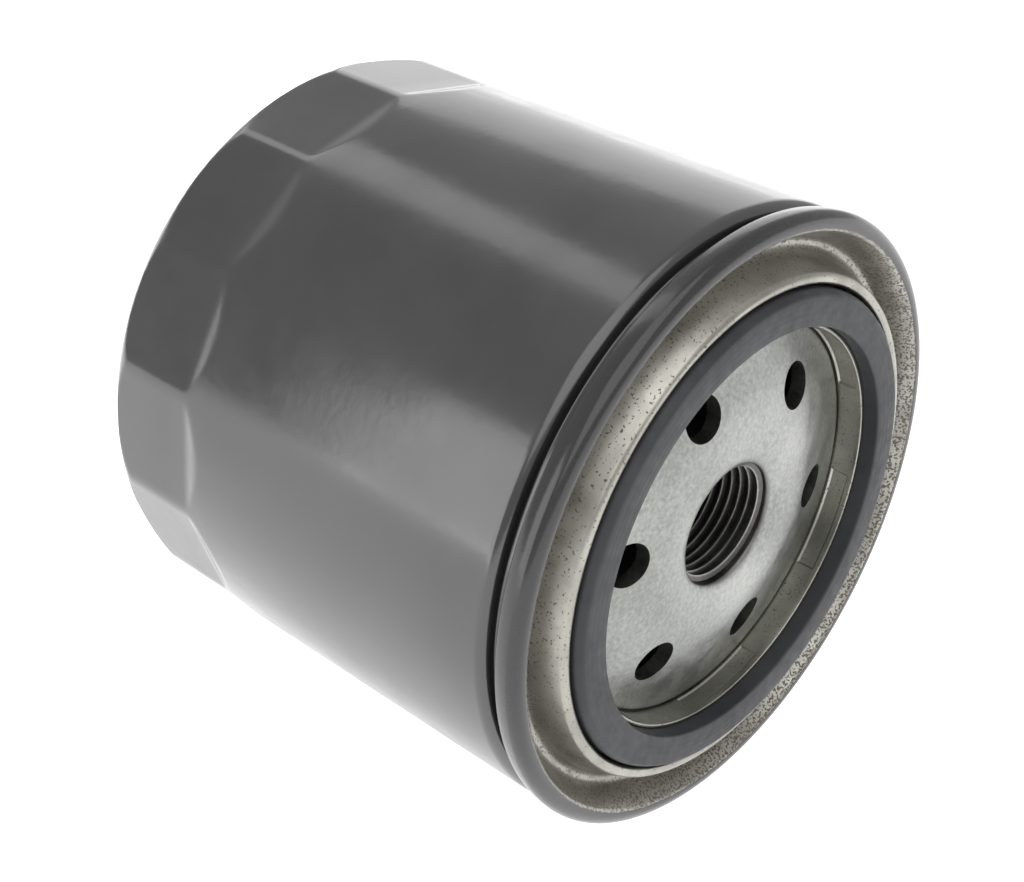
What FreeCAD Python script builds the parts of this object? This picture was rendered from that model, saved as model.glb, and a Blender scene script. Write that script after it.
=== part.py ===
"""Spin-on oil filter, built as the separate pieces of the real one.

Millimetres. The filter lies along X with its open end facing +X and +Z up. The origin is the
centre of the gasket's sealing face, so every depth into the filter is a negative X. A depth is
written as a positive size in the sheet and is used with a minus sign.
"""

import FreeCAD, Part
import math
import os
import re
import Sketcher

doc = FreeCAD.newDocument("oil_filter")
sheet = doc.addObject("Spreadsheet::Sheet", "sizes")

SIZES = [
    # Drawn can: the closed end is pressed into a ring of wrench flats.
    ("overall_length", 89.8),
    ("can_radius", 47.5),
    ("can_wall", 0.6),
    ("end_round", 7),
    ("flat_count", 15),
    ("flat_clock", 90),
    ("flat_length", 19),
    ("flat_ramp", 5),
    ("neck_gap", 1.8),
    ("neck_draw", 2.8),
    # Double seam between the can and the lid.
    ("seam_proud", 0.5),
    ("seam_setback", 2.2),
    ("seam_height", 4),
    ("seam_gap", 0.15),
    # Lid: chuck wall, recess, ridge, gasket groove and inner collar.
    ("lid_wall", 0.6),
    ("lid_bend", 0.55),
    ("chuck_draft", 1.9),
    ("recess_depth", 7.1),
    ("recess_flat", 1.8),
    ("ridge_draft", 1.4),
    ("ridge_depth", 1.2),
    ("ridge_top", 1.5),
    ("fold_gap", 0.1),
    ("collar_depth", 2.6),
    ("crimp_count", 6),
    ("crimp_span", 30),
    ("crimp_depth", 0.25),
    ("crimp_margin", 0.9),
    # Face gasket, a square-cut rubber ring. It stands on the groove floor, level with the recess.
    ("gasket_width", 5.5),
    ("gasket_bevel", 0.7),
    ("gasket_side_gap", 0.3),
    ("gasket_bore_gap", 0.1),
    # Thread plate with its drawn neck and inlet holes.
    ("plate_wall", 2.5),
    ("plate_lap", 0.1),
    ("plate_step_gap", 0.2),
    ("plate_rim_width", 2.2),
    ("plate_rim_rise", 0.9),
    ("cone_slope", 17),
    ("boss_depth", 3.4),
    ("boss_land", 5.9),
    ("mouth_drop", 1.5),
    ("neck_wall", 2.675),
    ("neck_length", 12.7),
    ("thread_major", 9.525),
    ("thread_depth", 0.685),
    ("thread_pitch", 1.5875),
    ("hole_count", 6),
    ("hole_radius", 3.5),
    ("hole_margin", 0.9),
    ("hole_clock", 48),
    # Rubber anti-drain valve and element seal on the neck.
    ("rubber_fit", 0.05),
    ("valve_hub_wall", 2.35),
    ("valve_hub_length", 10.1),
    ("valve_skirt", 1.2),
    ("valve_lip_land", 0.5),
    ("valve_lip_width", 1.8),
    ("valve_lip_height", 1.8),
    ("seal_wall", 3.35),
    ("seal_height", 3),
    # Filter element: caps, glue, pleated paper and centre tube.
    ("element_gap", 5.9),
    ("cap_wall", 0.5),
    ("cap_skirt", 4),
    ("cap_collar", 3),
    ("cap_bore_gap", 0.3),
    ("glue_height", 1.2),
    ("pleat_count", 36),
    ("pleat_tip_gap", 0.7),
    ("pleat_root_gap", 0.8),
    ("paper_thickness", 0.8),
    ("clip_wall", 0.4),
    ("clip_leg", 5),
    ("clip_fit", 0.1),
    ("tube_gap", 0.6),
    ("tube_wall", 0.6),
    ("tube_rows", 6),
    ("tube_columns", 8),
    ("tube_hole_radius", 2.6),
    # Bypass valve in the lower cap.
    ("bypass_bore", 8.5),
    ("bypass_seat_wall", 1),
    ("bypass_disc_lap", 2.5),
    ("bypass_disc_wall", 1.2),
    ("bypass_seal_wall", 1),
    ("bypass_seal_reach", 1.5),
    ("cage_gap", 2.2),
    ("cage_wall", 0.8),
    ("cage_height", 17),
    ("cage_flange_width", 1.4),
    ("cage_window_count", 4),
    ("cage_window_width", 7),
    ("stem_radius", 2.4),
    ("stem_fit", 0.3),
    ("stem_proud", 2.4),
    ("stem_clip_lap", 1.9),
    ("stem_clip_gap", 0.3),
    ("stem_clip_wall", 0.6),
    ("bypass_coil_radius", 6.6),
    ("bypass_wire_radius", 0.55),
    ("bypass_turns", 5),
    # Hold-down spring behind the element and its seat.
    ("spring_seat_wall", 0.8),
    ("spring_seat_land", 2.2),
    ("spring_seat_lip", 2),
    ("spring_seat_play", 0.3),
    ("hold_spring_length", 10.1),
    ("hold_coil_radius", 17.4),
    ("hold_wire_radius", 0.9),
    ("hold_turns", 3),
]

for row, (alias, value) in enumerate(SIZES, start=1):
    sheet.set(f"A{row}", alias)
    sheet.set(f"B{row}", str(value))
    sheet.setAlias(f"B{row}", alias)
doc.recompute()


def size(alias):
    """One driving size, read back from the sheet."""
    return float(sheet.get(alias))


def bound(text):
    """An expression with the sheet's name put before each alias in it."""
    return re.sub(r"\b[a-z]+(?:_[a-z]+)+\b", lambda word: "sizes." + word.group(0), text)


def measure(text):
    """The number that an expression comes to."""
    return float(sheet.evalExpression(bound(text)))


def new_body(name):
    """An empty body whose label names its file."""
    body = doc.addObject("PartDesign::Body", name)
    body.Label = name
    return body


def new_sketch(body, name, role="XY_Plane", turn="0", shift="0"):
    """A sketch on one of the body's own planes, turned about X and moved along its normal."""
    sketch = body.newObject("Sketcher::SketchObject", name)
    plane = next(item for item in body.Origin.OriginFeatures if item.Role == role)
    sketch.AttachmentSupport = [(plane, "")]
    sketch.MapMode = "FlatFace"
    if turn != "0":
        sketch.AttachmentOffset = FreeCAD.Placement(
            FreeCAD.Vector(), FreeCAD.Rotation(FreeCAD.Vector(1, 0, 0), 1)
        )
        sketch.setExpression("AttachmentOffset.Rotation.Angle", bound(turn))
    if shift != "0":
        sketch.setExpression("AttachmentOffset.Base.z", bound(shift))
    return sketch


def place_point(sketch, geometry, end, across, up, rough):
    """Tie one point of a sketch to two expressions, each measured from the origin."""
    for kind, axis, text, value in (("DistanceX", -2, across, rough.x), ("DistanceY", -1, up, rough.y)):
        if text == "0":
            sketch.addConstraint(Sketcher.Constraint("PointOnObject", geometry, end, axis))
        else:
            index = sketch.addConstraint(Sketcher.Constraint(kind, -1, 1, geometry, end, value))
            sketch.setExpression(f"Constraints[{index}]", bound(text))


def draw_outline(sketch, corners):
    """A closed outline of straight sides through corners given as pairs of expressions."""
    first = sketch.GeometryCount
    count = len(corners)
    rough = [
        FreeCAD.Vector(
            0 if across == "0" else -20 + 10 * math.cos(2 * math.pi * i / count),
            0 if up == "0" else 20 + 10 * math.sin(2 * math.pi * i / count),
            0,
        )
        for i, (across, up) in enumerate(corners)
    ]
    for i in range(count):
        sketch.addGeometry(Part.LineSegment(rough[i], rough[(i + 1) % count]))
    for i in range(count):
        following = first + (i + 1) % count
        sketch.addConstraint(Sketcher.Constraint("Coincident", first + i, 2, following, 1))
    for i, (across, up) in enumerate(corners):
        place_point(sketch, first + i, 1, across, up, rough[i])


def draw_circle(sketch, across, up, radius):
    """A circle whose centre and radius are expressions."""
    rough = FreeCAD.Vector(0 if across == "0" else 5, 0 if up == "0" else 5, 0)
    circle = sketch.addGeometry(Part.Circle(rough, FreeCAD.Vector(0, 0, 1), 2))
    place_point(sketch, circle, 3, across, up, rough)
    index = sketch.addConstraint(Sketcher.Constraint("Radius", circle, 2))
    sketch.setExpression(f"Constraints[{index}]", bound(radius))


def turn_outline(body, name, corners):
    """Add a ring to the body: an outline of (x, radius) corners turned about the X axis."""
    sketch = new_sketch(body, name + "_outline")
    draw_outline(sketch, corners)
    ring = body.newObject("PartDesign::Revolution", name + "_turned")
    ring.Profile = sketch
    ring.ReferenceAxis = (sketch, ["H_Axis"])
    ring.Angle = 360
    doc.recompute()
    return ring


def round_corners(body, name, corners, radius):
    """Round the circular edges at the given corners, each a pair of expressions."""
    base = body.Tip
    edges = []
    for x, r in ((measure(across), measure(up)) for across, up in corners):
        for number, edge in enumerate(base.Shape.Edges, start=1):
            point = edge.valueAt(edge.FirstParameter)
            reach = math.hypot(point.y, point.z)
            same_place = abs(point.x - x) < 1e-4 and abs(reach - r) < 1e-4
            if same_place and isinstance(edge.Curve, Part.Circle):
                edges.append(f"Edge{number}")
    if not edges:
        raise RuntimeError(f"{name}: no edge at {corners}")
    rounding = body.newObject("PartDesign::Fillet", name)
    rounding.Base = (base, sorted(set(edges)))
    rounding.setExpression("Radius", bound(radius))
    doc.recompute()
    return rounding


def cut_pocket(body, name, sketch, length, both_ways=False):
    """Cut a sketch's shape out of the body, to one side of its plane or to both."""
    before = body.Shape.Volume
    pocket = body.newObject("PartDesign::Pocket", name)
    pocket.Profile = sketch
    pocket.Midplane = both_ways
    pocket.setExpression("Length", bound(length))
    pocket.Reversed = not both_ways
    doc.recompute()
    if body.Shape.Volume > before - 1e-6:
        raise RuntimeError(f"{name}: nothing was cut")
    return pocket


def repeat_around(body, name, feature, count):
    """Repeat a feature evenly about the X axis."""
    axis = next(item for item in body.Origin.OriginFeatures if item.Role == "X_Axis")
    pattern = body.newObject("PartDesign::PolarPattern", name)
    pattern.Originals = [feature]
    pattern.Axis = (axis, [""])
    pattern.Angle = 360
    pattern.setExpression("Occurrences", bound(count))
    body.Tip = pattern
    doc.recompute()
    return pattern


def wind_coil(body, name, start, radius, wire, length, turns):
    """A helical spring along X, its wire centred on the given start and coil radius."""
    sketch = new_sketch(body, name + "_wire")
    draw_circle(sketch, start, radius, wire)
    coil = body.newObject("PartDesign::AdditiveHelix", name + "_coil")
    coil.Profile = sketch
    coil.ReferenceAxis = (sketch, ["H_Axis"])
    coil.Mode = "height-turns-angle"
    coil.setExpression("Height", bound(length))
    coil.setExpression("Turns", bound(turns))
    coil.Outside = False
    doc.recompute()
    return coil


# Places shared by several pieces. Each is an expression, so a changed size moves them all.
SEAM_RADIUS = "(can_radius + seam_proud)"
SEAM_TOP = "(-seam_setback)"
SEAM_BOTTOM = f"({SEAM_TOP} - seam_height)"
NECK_START = f"({SEAM_BOTTOM} - neck_gap)"
NECK_FOOT = f"({NECK_START} - neck_draw)"
RIM_INNER = f"({SEAM_RADIUS} - lid_wall)"
BODY_HOOK_OUTER = f"({RIM_INNER} - seam_gap)"
BODY_HOOK_INNER = f"({BODY_HOOK_OUTER} - can_wall)"
COVER_HOOK_OUTER = f"({BODY_HOOK_INNER} - seam_gap)"
COVER_HOOK_INNER = f"({COVER_HOOK_OUTER} - lid_wall)"
CAN_NECK_OUTER = f"({COVER_HOOK_INNER} - seam_gap)"
CAN_NECK_INNER = f"({CAN_NECK_OUTER} - can_wall)"
CHUCK_OUTER = f"({CAN_NECK_INNER} - seam_gap)"
CHUCK_INNER = f"({CHUCK_OUTER} - lid_wall)"
FLANGE_TOP = f"({SEAM_TOP} - lid_wall - seam_gap)"
FLANGE_UNDER = f"({FLANGE_TOP} - can_wall)"
HOOK_FLOOR = f"({SEAM_BOTTOM} + lid_wall)"
BODY_HOOK_END = f"({HOOK_FLOOR} + seam_gap)"
COVER_HOOK_END = f"({FLANGE_UNDER} - seam_gap)"

RECESS_OUTER = f"({CHUCK_INNER} - chuck_draft)"
RECESS_INNER = f"({RECESS_OUTER} - recess_flat)"
RIDGE_OUTER = f"({RECESS_INNER} - ridge_draft)"
GROOVE_OUTER = f"({RIDGE_OUTER} - ridge_top)"
GASKET_OUTER = f"({GROOVE_OUTER} - gasket_side_gap)"
GASKET_INNER = f"({GASKET_OUTER} - gasket_width)"
GROOVE_INNER = f"({GASKET_INNER} - gasket_bore_gap)"
GROOVE_FLOOR = "(-recess_depth)"
COLLAR_FACE = f"({GROOVE_INNER} - lid_wall)"

PLATE_FACE = "(-recess_depth - lid_wall)"
PLATE_BACK = f"({PLATE_FACE} - plate_wall)"
PLATE_RADIUS = f"({RECESS_OUTER} + plate_lap)"
RIM_FACE = f"({PLATE_FACE} + plate_rim_rise)"
RIM_EDGE = f"({COLLAR_FACE} - plate_step_gap)"
CONE_FOOT = f"({RIM_EDGE} - plate_rim_width)"
THREAD_MINOR = "(thread_major - thread_depth)"
NECK_RADIUS = "(thread_major + neck_wall)"
BOSS_RADIUS = f"({NECK_RADIUS} + boss_land)"
HOLE_CIRCLE = f"({BOSS_RADIUS} + hole_margin + hole_radius)"
BOSS_BACK = "(-boss_depth - plate_wall)"
MOUTH = "(-boss_depth - mouth_drop)"
NECK_END = f"({BOSS_BACK} - neck_length)"

RUBBER_BORE = f"({NECK_RADIUS} + rubber_fit)"
HUB_RADIUS = f"({RUBBER_BORE} + valve_hub_wall)"
HUB_END = f"({BOSS_BACK} - valve_hub_length)"
LIP_SEAT = f"({CONE_FOOT} + valve_lip_land)"
LIP_INNER = f"({LIP_SEAT} - valve_skirt)"
LIP_OUTER = f"({LIP_SEAT} + valve_lip_width)"

CAN_FLOOR = "(-overall_length + can_wall)"
SPRING_SEAT_BACK = f"({CAN_FLOOR} + hold_spring_length)"
ELEMENT_END = f"({SPRING_SEAT_BACK} + spring_seat_wall)"
CAP_FACE = f"({HUB_END} - seal_height)"
CAP_RADIUS = "(can_radius - can_wall - element_gap)"
GLUE_TOP = f"({CAP_FACE} - cap_wall)"
PAPER_TOP = f"({GLUE_TOP} - glue_height)"
GLUE_BOTTOM = f"({ELEMENT_END} + cap_wall)"
PAPER_BOTTOM = f"({GLUE_BOTTOM} + glue_height)"

SEAT_FACE = f"({GLUE_BOTTOM} + bypass_seat_wall)"
DISC_RADIUS = "(bypass_bore + bypass_disc_lap)"
DISC_FACE = f"({SEAT_FACE} + bypass_seal_wall)"
DISC_BACK = f"({DISC_FACE} + bypass_disc_wall)"
CAGE_RADIUS = f"({DISC_RADIUS} + cage_gap)"
CAGE_FLANGE = f"({CAGE_RADIUS} + cage_wall + cage_flange_width)"
CAGE_TOP = f"({SEAT_FACE} + cage_height)"
CAGE_ROOF = f"({CAGE_TOP} - cage_wall)"
STEM_END = f"({CAGE_TOP} + stem_proud)"
STEM_HOLE = "(stem_radius + stem_fit)"
TUBE_INNER = f"({CAGE_FLANGE} + tube_gap)"
TUBE_OUTER = f"({TUBE_INNER} + tube_wall)"
PLEAT_INNER = f"({TUBE_OUTER} + pleat_root_gap)"
PLEAT_OUTER = f"({CAP_RADIUS} - cap_wall - pleat_tip_gap)"


def flat_cuts(body, name, inset):
    """Cut the ring of wrench flats near the closed end; each runs out to the wall on a ramp."""
    face = f"(can_radius * cos(180 deg / flat_count) - {inset})"
    beyond = "(can_radius + can_wall)"
    ramp_start = "(-overall_length + flat_length)"
    ramp_end = f"({ramp_start} + flat_ramp)"
    sketch = new_sketch(body, name + "_flat", turn="flat_clock + 180 / flat_count")
    draw_outline(
        sketch,
        [
            ("-overall_length - can_wall", face),
            (ramp_start, face),
            (ramp_end, f"(can_radius - {inset})"),
            (ramp_end, beyond),
            ("-overall_length - can_wall", beyond),
        ],
    )
    pocket = cut_pocket(body, name + "_flat_cut", sketch, "can_radius", both_ways=True)
    repeat_around(body, name + "_flats", pocket, "flat_count")


def can_form(name, inset, mouth):
    """The can's shape at a given inset from its outer skin, closed at the far end."""
    body = new_body(name)
    floor = f"(-overall_length + {inset})"
    wall = f"(can_radius - {inset})"
    neck = f"({CAN_NECK_OUTER} - {inset})"
    turn_outline(
        body,
        name,
        [
            (floor, "0"),
            (floor, wall),
            (f"({NECK_FOOT} - {inset} / 2)", wall),
            (f"({NECK_START} - {inset} / 2)", neck),
            (mouth, neck),
            (mouth, "0"),
        ],
    )
    round_corners(body, name + "_end_rounding", [(floor, wall)], f"(end_round - {inset})")
    flat_cuts(body, name, inset)
    return body


def make_can():
    """Can: one deep-drawn cup, necked in below the seam, its edge flanged and hooked down."""
    body = can_form("can", "0", FLANGE_TOP)
    core = can_form("can_core", "can_wall", f"({FLANGE_TOP} + can_wall)")
    cut = body.newObject("PartDesign::Boolean", "can_hollow")
    cut.Type = "Cut"
    cut.addObjects([core])
    doc.recompute()
    turn_outline(
        body,
        "can_flange",
        [
            (FLANGE_TOP, f"({CAN_NECK_OUTER} - can_wall / 2)"),
            (FLANGE_TOP, BODY_HOOK_OUTER),
            (BODY_HOOK_END, BODY_HOOK_OUTER),
            (BODY_HOOK_END, BODY_HOOK_INNER),
            (FLANGE_UNDER, BODY_HOOK_INNER),
            (FLANGE_UNDER, f"({CAN_NECK_OUTER} - can_wall / 2)"),
        ],
    )
    return body


def make_lid():
    """Seaming lid: stamped steel with the seam hook, recess, gasket groove and turned-up collar."""
    body = new_body("seaming_lid")
    turn_outline(
        body,
        "seaming_lid",
        [
            (COVER_HOOK_END, COVER_HOOK_INNER),
            (SEAM_BOTTOM, COVER_HOOK_INNER),
            (SEAM_BOTTOM, SEAM_RADIUS),
            (SEAM_TOP, SEAM_RADIUS),
            (SEAM_TOP, CHUCK_INNER),
            ("-recess_depth", RECESS_OUTER),
            ("-recess_depth", RECESS_INNER),
            ("-ridge_depth", RIDGE_OUTER),
            ("-ridge_depth", GROOVE_OUTER),
            (GROOVE_FLOOR, GROOVE_OUTER),
            (GROOVE_FLOOR, GROOVE_INNER),
            ("-collar_depth", GROOVE_INNER),
            ("-collar_depth", COLLAR_FACE),
            (PLATE_FACE, COLLAR_FACE),
            (PLATE_FACE, f"({GROOVE_OUTER} + lid_wall)"),
            ("(-ridge_depth - lid_wall)", f"({GROOVE_OUTER} + lid_wall)"),
            ("(-ridge_depth - lid_wall)", f"({GROOVE_OUTER} + lid_wall + fold_gap)"),
            (PLATE_FACE, f"({RECESS_INNER} - lid_wall)"),
            (PLATE_FACE, f"({RECESS_OUTER} + lid_wall)"),
            (f"({SEAM_TOP} - lid_wall)", CHUCK_OUTER),
            (f"({SEAM_TOP} - lid_wall)", RIM_INNER),
            (HOOK_FLOOR, RIM_INNER),
            (HOOK_FLOOR, COVER_HOOK_OUTER),
            (COVER_HOOK_END, COVER_HOOK_OUTER),
        ],
    )
    bends = [
        (SEAM_TOP, SEAM_RADIUS),
        (SEAM_BOTTOM, SEAM_RADIUS),
        (SEAM_TOP, CHUCK_INNER),
        ("-ridge_depth", RIDGE_OUTER),
        ("-ridge_depth", GROOVE_OUTER),
    ]
    round_corners(body, "lid_bends", bends, "lid_bend")
    return body


def make_crimps(body):
    """Six shallow pads pressed into the collar's inner face key the lid to the thread plate."""
    sketch = new_sketch(body, "crimp_outline")
    draw_outline(
        sketch,
        [
            ("(-collar_depth - crimp_margin)", f"({COLLAR_FACE} - crimp_depth)"),
            ("(-collar_depth - crimp_margin)", f"({COLLAR_FACE} + crimp_depth)"),
            ("(-recess_depth + crimp_margin)", f"({COLLAR_FACE} + crimp_depth)"),
            ("(-recess_depth + crimp_margin)", f"({COLLAR_FACE} - crimp_depth)"),
        ],
    )
    sketch.AttachmentOffset = FreeCAD.Placement(
        FreeCAD.Vector(), FreeCAD.Rotation(FreeCAD.Vector(1, 0, 0), 1)
    )
    sketch.setExpression("AttachmentOffset.Rotation.Angle", bound("hole_clock - crimp_span / 2"))
    groove = body.newObject("PartDesign::Groove", "crimp")
    groove.Profile = sketch
    groove.ReferenceAxis = (sketch, ["H_Axis"])
    groove.Midplane = True
    groove.setExpression("Angle", bound("crimp_span"))
    doc.recompute()
    return repeat_around(body, "crimps", groove, "crimp_count")


def make_sealant():
    """Seam sealant: the cured compound ring between the two hooks."""
    body = new_body("seam_sealant")
    turn_outline(
        body,
        "seam_sealant",
        [
            (FLANGE_TOP, CHUCK_OUTER),
            (f"({SEAM_TOP} - lid_wall)", CHUCK_OUTER),
            (f"({SEAM_TOP} - lid_wall)", RIM_INNER),
            (FLANGE_TOP, RIM_INNER),
        ],
    )
    return body


def make_thread_plate():
    """Thread plate: thick pressed steel with a raised boss, a drawn threaded neck and six inlets."""
    body = new_body("thread_plate")
    cone_end = f"(-boss_depth - ({CONE_FOOT} - {BOSS_RADIUS}) * tan(cone_slope * 1 deg))"
    turn_outline(
        body,
        "thread_plate",
        [
            (PLATE_FACE, PLATE_RADIUS),
            (PLATE_FACE, RIM_EDGE),
            (RIM_FACE, RIM_EDGE),
            (cone_end, CONE_FOOT),
            ("-boss_depth", BOSS_RADIUS),
            ("-boss_depth", NECK_RADIUS),
            (MOUTH, "thread_major"),
            (f"({MOUTH} - thread_depth)", THREAD_MINOR),
            (NECK_END, THREAD_MINOR),
            (NECK_END, NECK_RADIUS),
            (BOSS_BACK, NECK_RADIUS),
            (BOSS_BACK, BOSS_RADIUS),
            (PLATE_BACK, CONE_FOOT),
            (PLATE_BACK, PLATE_RADIUS),
        ],
    )
    return body


def cut_inlets(body):
    """Six round inlets, punched along the axis through the plate's sloping cone."""
    sketch = new_sketch(body, "inlet_outline", role="YZ_Plane", shift="-boss_depth")
    draw_circle(
        sketch,
        f"({HOLE_CIRCLE} * cos(hole_clock * 1 deg))",
        f"({HOLE_CIRCLE} * sin(hole_clock * 1 deg))",
        "hole_radius",
    )
    before = body.Shape.Volume
    pocket = body.newObject("PartDesign::Pocket", "inlet")
    pocket.Profile = sketch
    pocket.setExpression("Length", bound("recess_depth + plate_wall"))
    doc.recompute()
    if body.Shape.Volume > before - 1e-6:
        pocket.Reversed = True
        doc.recompute()
    return repeat_around(body, "inlets", pocket, "hole_count")


def cut_thread(body):
    """The unified thread: a V groove wound from before the mouth to past the neck's end."""
    flank = "(thread_depth * tan(30 deg))"
    crest = "(thread_pitch / 8)"
    start = f"({NECK_END} - thread_pitch)"
    inner = f"({THREAD_MINOR} - 0.02)"
    sketch = new_sketch(body, "thread_outline")
    draw_outline(
        sketch,
        [
            (f"({start} - {flank} - {crest} / 2)", inner),
            (f"({start} - {crest} / 2)", "thread_major"),
            (f"({start} + {crest} / 2)", "thread_major"),
            (f"({start} + {flank} + {crest} / 2)", inner),
        ],
    )
    thread = body.newObject("PartDesign::SubtractiveHelix", "thread")
    thread.Profile = sketch
    thread.ReferenceAxis = (sketch, ["H_Axis"])
    thread.Mode = "pitch-height-angle"
    thread.setExpression("Pitch", bound("thread_pitch"))
    thread.setExpression("Height", bound(f"{MOUTH} - {NECK_END} + 2 * thread_pitch"))
    doc.recompute()
    return thread


def make_gasket():
    """Face gasket: a rubber ring lying on the groove's floor and standing proud of it."""
    body = new_body("face_gasket")
    turn_outline(
        body,
        "face_gasket",
        [
            (GROOVE_FLOOR, GASKET_INNER),
            ("0", GASKET_INNER),
            ("0", f"({GASKET_OUTER} - gasket_bevel)"),
            ("-gasket_bevel", GASKET_OUTER),
            (GROOVE_FLOOR, GASKET_OUTER),
        ],
    )
    return body


def make_anti_drain_valve():
    """Anti-drain valve: rubber hub on the neck, with a skirt whose lip closes on the plate."""
    body = new_body("anti_drain_valve")
    skirt_root = f"({HUB_END} + valve_skirt / 2)"
    lip_back = f"({PLATE_BACK} - valve_lip_height)"
    turn_outline(
        body,
        "anti_drain_valve",
        [
            (BOSS_BACK, RUBBER_BORE),
            (BOSS_BACK, HUB_RADIUS),
            (f"({skirt_root} + valve_skirt)", HUB_RADIUS),
            (f"({lip_back} + valve_skirt)", LIP_INNER),
            (PLATE_BACK, LIP_SEAT),
            (PLATE_BACK, LIP_OUTER),
            (lip_back, LIP_OUTER),
            (lip_back, LIP_INNER),
            (skirt_root, HUB_RADIUS),
            (HUB_END, HUB_RADIUS),
            (HUB_END, RUBBER_BORE),
        ],
    )
    return body


def make_element_seal():
    """Element seal: rubber grommet round the neck, squeezed between valve hub and upper cap."""
    body = new_body("element_seal")
    turn_outline(
        body,
        "element_seal",
        [
            (HUB_END, RUBBER_BORE),
            (HUB_END, f"({RUBBER_BORE} + seal_wall)"),
            (CAP_FACE, f"({RUBBER_BORE} + seal_wall)"),
            (CAP_FACE, RUBBER_BORE),
        ],
    )
    return body


def cap_corners(face, inward, bore, collar):
    """Corners of an end cap: a disc with an outer skirt and an inner collar, both turned inward."""
    under = f"({face} {inward} cap_wall)"
    skirt = f"({face} {inward} cap_skirt)"
    collar_end = f"({face} {inward} {collar})"
    return [
        (face, bore),
        (face, CAP_RADIUS),
        (skirt, CAP_RADIUS),
        (skirt, f"({CAP_RADIUS} - cap_wall)"),
        (under, f"({CAP_RADIUS} - cap_wall)"),
        (under, f"({bore} + cap_wall)"),
        (collar_end, f"({bore} + cap_wall)"),
        (collar_end, bore),
    ]


def make_caps():
    """End caps: stamped steel dishes that the paper and the tube are glued into."""
    upper = new_body("upper_end_cap")
    bore = f"({NECK_RADIUS} + cap_bore_gap)"
    turn_outline(upper, "upper_end_cap", cap_corners(CAP_FACE, "-", bore, "cap_collar"))
    lower = new_body("lower_end_cap")
    turn_outline(
        lower,
        "lower_end_cap",
        [
            (ELEMENT_END, "bypass_bore"),
            (ELEMENT_END, CAP_RADIUS),
            (f"({ELEMENT_END} + cap_skirt)", CAP_RADIUS),
            (f"({ELEMENT_END} + cap_skirt)", f"({CAP_RADIUS} - cap_wall)"),
            (GLUE_BOTTOM, f"({CAP_RADIUS} - cap_wall)"),
            (GLUE_BOTTOM, "bypass_bore"),
        ],
    )
    return [upper, lower]


def make_glue():
    """Plastisol rings: the cured adhesive that holds paper and tube in each cap."""
    rings = []
    for name, near, far in (
        ("upper_adhesive", GLUE_TOP, PAPER_TOP),
        ("lower_adhesive", GLUE_BOTTOM, PAPER_BOTTOM),
    ):
        body = new_body(name)
        turn_outline(
            body,
            name,
            [
                (near, TUBE_OUTER),
                (near, f"({CAP_RADIUS} - cap_wall)"),
                (far, f"({CAP_RADIUS} - cap_wall)"),
                (far, TUBE_OUTER),
            ],
        )
        rings.append(body)
    return rings


def make_tube():
    """Centre tube: rolled steel with rows of holes, so the paper doesn't collapse inward."""
    body = new_body("centre_tube")
    turn_outline(
        body,
        "centre_tube",
        [
            (GLUE_TOP, TUBE_INNER),
            (GLUE_TOP, TUBE_OUTER),
            (GLUE_BOTTOM, TUBE_OUTER),
            (GLUE_BOTTOM, TUBE_INNER),
        ],
    )
    sketch = new_sketch(body, "tube_holes")
    rows = int(size("tube_rows"))
    for row in range(rows):
        place = f"({PAPER_TOP} + ({PAPER_BOTTOM} - {PAPER_TOP}) * {row + 0.5} / tube_rows)"
        draw_circle(sketch, place, "0", "tube_hole_radius")
    pocket = body.newObject("PartDesign::Pocket", "tube_hole_row")
    pocket.Profile = sketch
    pocket.Reversed = True
    pocket.setExpression("Length", bound(f"{TUBE_OUTER} + tube_wall"))
    doc.recompute()
    repeat_around(body, "tube_hole_rows", pocket, "tube_columns")
    return body


def pleat_loop(tip, root, tip_angle, root_angle):
    """One closed zigzag round the axis: a flat tip and a flat root for each pleat."""
    count = int(size("pleat_count"))
    step = 2 * math.pi / count
    points = []
    for pleat in range(count):
        middle = pleat * step
        for radius, angle in (
            (tip, middle - tip_angle),
            (tip, middle + tip_angle),
            (root, middle + step / 2 - root_angle),
            (root, middle + step / 2 + root_angle),
        ):
            points.append(FreeCAD.Vector(0, radius * math.cos(angle), radius * math.sin(angle)))
    return Part.makePolygon(points + points[:1])


def make_media():
    """Pleated media: one resin-treated paper strip folded into a star and joined end to end."""
    half = size("paper_thickness") / 2
    quarter = math.pi / 2 / size("pleat_count")
    tip = measure(PLEAT_OUTER)
    root = measure(PLEAT_INNER)
    thick = size("paper_thickness")
    outside = pleat_loop(tip, root + thick, quarter + half / tip, quarter - half / (root + thick))
    inside = pleat_loop(tip - thick, root, quarter - half / (tip - thick), quarter + half / root)
    near, far = measure(PAPER_BOTTOM), measure(PAPER_TOP)
    star = Part.makeFace([outside, inside], "Part::FaceMakerBullseye")
    paper = doc.addObject("Part::Feature", "pleated_media")
    paper.Label = "pleated_media"
    paper.Shape = star.extrude(FreeCAD.Vector(far - near, 0, 0))
    paper.Placement = FreeCAD.Placement(FreeCAD.Vector(near, 0, 0), FreeCAD.Rotation())
    return paper


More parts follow.
